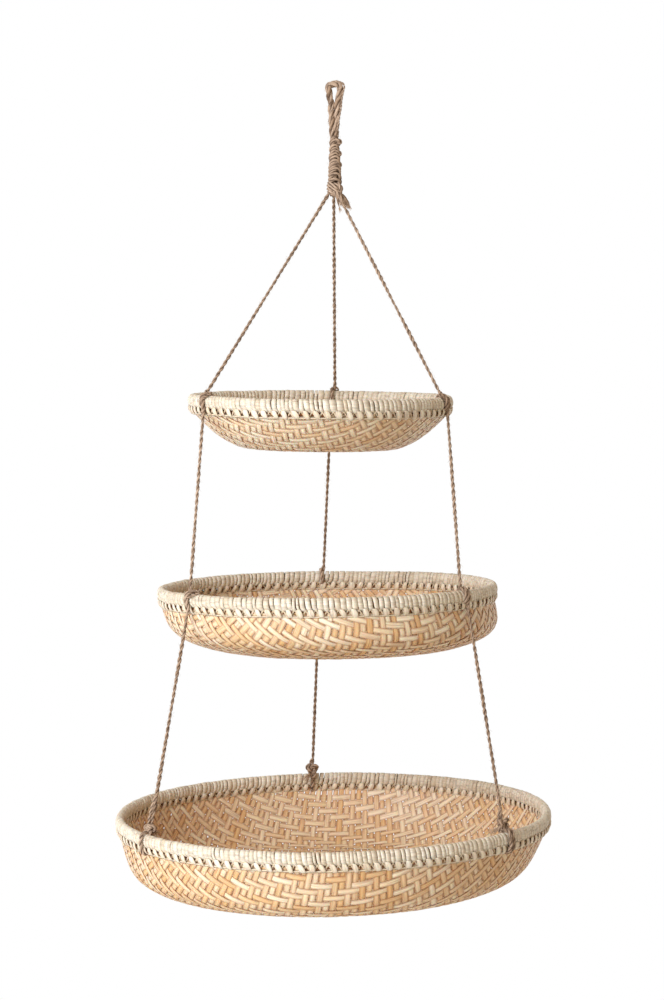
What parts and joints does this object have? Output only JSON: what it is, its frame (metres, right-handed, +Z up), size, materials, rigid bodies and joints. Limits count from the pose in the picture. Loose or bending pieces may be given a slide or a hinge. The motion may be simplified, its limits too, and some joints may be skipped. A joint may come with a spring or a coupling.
{
  "type": "three-tier hanging basket",
  "caption": "Hanging fruit basket with round woven bowls of growing size on jute cords that meet in a wound neck and a loop.",
  "frame": {"origin": "where a hook bears on the top inside of the hanging eye", "axes": "+Z up, -Y towards the viewer of the picture, +X to that viewer's right"},
  "size_m": [0.402, 0.4043, 0.7468],
  "materials": {
    "jute_cord": "twisted jute",
    "woven_strip": "matt split bamboo",
    "binding_strip": "matt peeled strip",
    "lashing_strip": "matt peeled strip",
    "hoop_cane": "plain cane"
  },
  "bodies": {
    "hanging_loop": {"hanging_loop": "jute_cord"},
    "neck": {"neck_core": "jute_cord", "neck_whipping": "jute_cord", "gather_knot": "jute_cord"},
    "cord_tails": {"cord_tails": "jute_cord"},
    "top_tier": {"upper_left_cord": "jute_cord", "upper_right_cord": "jute_cord", "upper_back_cord": "jute_cord", "top_bowl": "woven_strip", "top_rim_hoop": "hoop_cane", "top_rim_binding": "binding_strip", "top_rim_stitches": "lashing_strip", "top_left_hitch": "jute_cord", "top_right_hitch": "jute_cord", "top_back_hitch": "jute_cord"},
    "middle_left_cord": {"middle_left_cord": "jute_cord"},
    "middle_right_cord": {"middle_right_cord": "jute_cord"},
    "middle_back_cord": {"middle_back_cord": "jute_cord"},
    "middle_tier": {"middle_bowl": "woven_strip", "middle_rim_hoop": "hoop_cane", "middle_rim_binding": "binding_strip", "middle_rim_stitches": "lashing_strip", "middle_left_hitch": "jute_cord", "middle_right_hitch": "jute_cord", "middle_back_hitch": "jute_cord"},
    "lower_left_cord": {"lower_left_cord": "jute_cord"},
    "lower_right_cord": {"lower_right_cord": "jute_cord"},
    "lower_back_cord": {"lower_back_cord": "jute_cord"},
    "bottom_tier": {"bottom_bowl": "woven_strip", "bottom_rim_hoop": "hoop_cane", "bottom_rim_binding": "binding_strip", "bottom_rim_stitches": "lashing_strip", "bottom_left_knot": "jute_cord", "bottom_right_knot": "jute_cord", "bottom_back_knot": "jute_cord", "bottom_left_knot_tail": "jute_cord", "bottom_right_knot_tail": "jute_cord", "bottom_back_knot_tail": "jute_cord"}
  },
  "joints": [
    {"name": "neck_twist", "type": "hinge", "parent": "hanging_loop", "child": "neck", "pos_m": [0, 0, -0.0459], "axis": [0, 0, 1], "range_deg": [-90, 90]},
    {"name": "fore_aft_swing", "type": "hinge", "parent": "neck", "child": "cord_tails", "pos_m": [0, 0, -0.0904], "axis": [1, 0, 0], "range_deg": [-15, 15]},
    {"name": "side_swing", "type": "hinge", "parent": "cord_tails", "child": "top_tier", "pos_m": [0, 0, -0.0904], "axis": [0, 1, 0], "range_deg": [-12, 12]},
    {"name": "middle_left_cord_swing", "type": "hinge", "parent": "top_tier", "child": "middle_left_cord", "pos_m": [-0.11498, -0.0634, -0.29555], "axis": [0, 1, 0], "range_deg": [-8, 8]},
    {"name": "middle_tier_level", "type": "hinge", "parent": "middle_left_cord", "child": "middle_tier", "pos_m": [-0.12494, -0.09142, -0.45362], "axis": [0, 1, 0], "range_deg": [-7.5, 7.5]},
    {"name": "middle_right_cord_swing", "type": "hinge", "parent": "top_tier", "child": "middle_right_cord", "pos_m": [0.10645, -0.03611, -0.29555], "axis": [0, 1, 0], "range_deg": [-8.4, 8.4]},
    {"name": "middle_back_cord_swing", "type": "hinge", "parent": "top_tier", "child": "middle_back_cord", "pos_m": [-0.00086, 0.12193, -0.29555], "axis": [0, 1, 0], "range_deg": [-8.1, 8.1]},
    {"name": "lower_left_cord_swing", "type": "hinge", "parent": "middle_tier", "child": "lower_left_cord", "pos_m": [-0.126, -0.0977, -0.47064], "axis": [0, 1, 0], "range_deg": [-8, 8]},
    {"name": "bottom_tier_level", "type": "hinge", "parent": "lower_left_cord", "child": "bottom_tier", "pos_m": [-0.16201, -0.09186, -0.66741], "axis": [0, 1, 0], "range_deg": [-6.4, 6.4]},
    {"name": "lower_right_cord_swing", "type": "hinge", "parent": "middle_tier", "child": "lower_right_cord", "pos_m": [0.12218, -0.09581, -0.46504], "axis": [0, 1, 0], "range_deg": [-8.2, 8.2]},
    {"name": "lower_back_cord_swing", "type": "hinge", "parent": "middle_tier", "child": "lower_back_cord", "pos_m": [-0.01033, 0.15693, -0.47246], "axis": [0, 1, 0], "range_deg": [-8.4, 8.4]}
  ],
  "couplings": [
    {"joint": "middle_tier_level", "follows": "middle_left_cord_swing", "ratio": -0.9188},
    {"joint": "middle_right_cord_swing", "follows": "middle_left_cord_swing", "ratio": 1.0335},
    {"joint": "middle_back_cord_swing", "follows": "middle_left_cord_swing", "ratio": 0.9898},
    {"joint": "bottom_tier_level", "follows": "lower_left_cord_swing", "ratio": -0.7831},
    {"joint": "lower_right_cord_swing", "follows": "lower_left_cord_swing", "ratio": 1.0019},
    {"joint": "lower_back_cord_swing", "follows": "lower_left_cord_swing", "ratio": 1.0321}
  ]
}
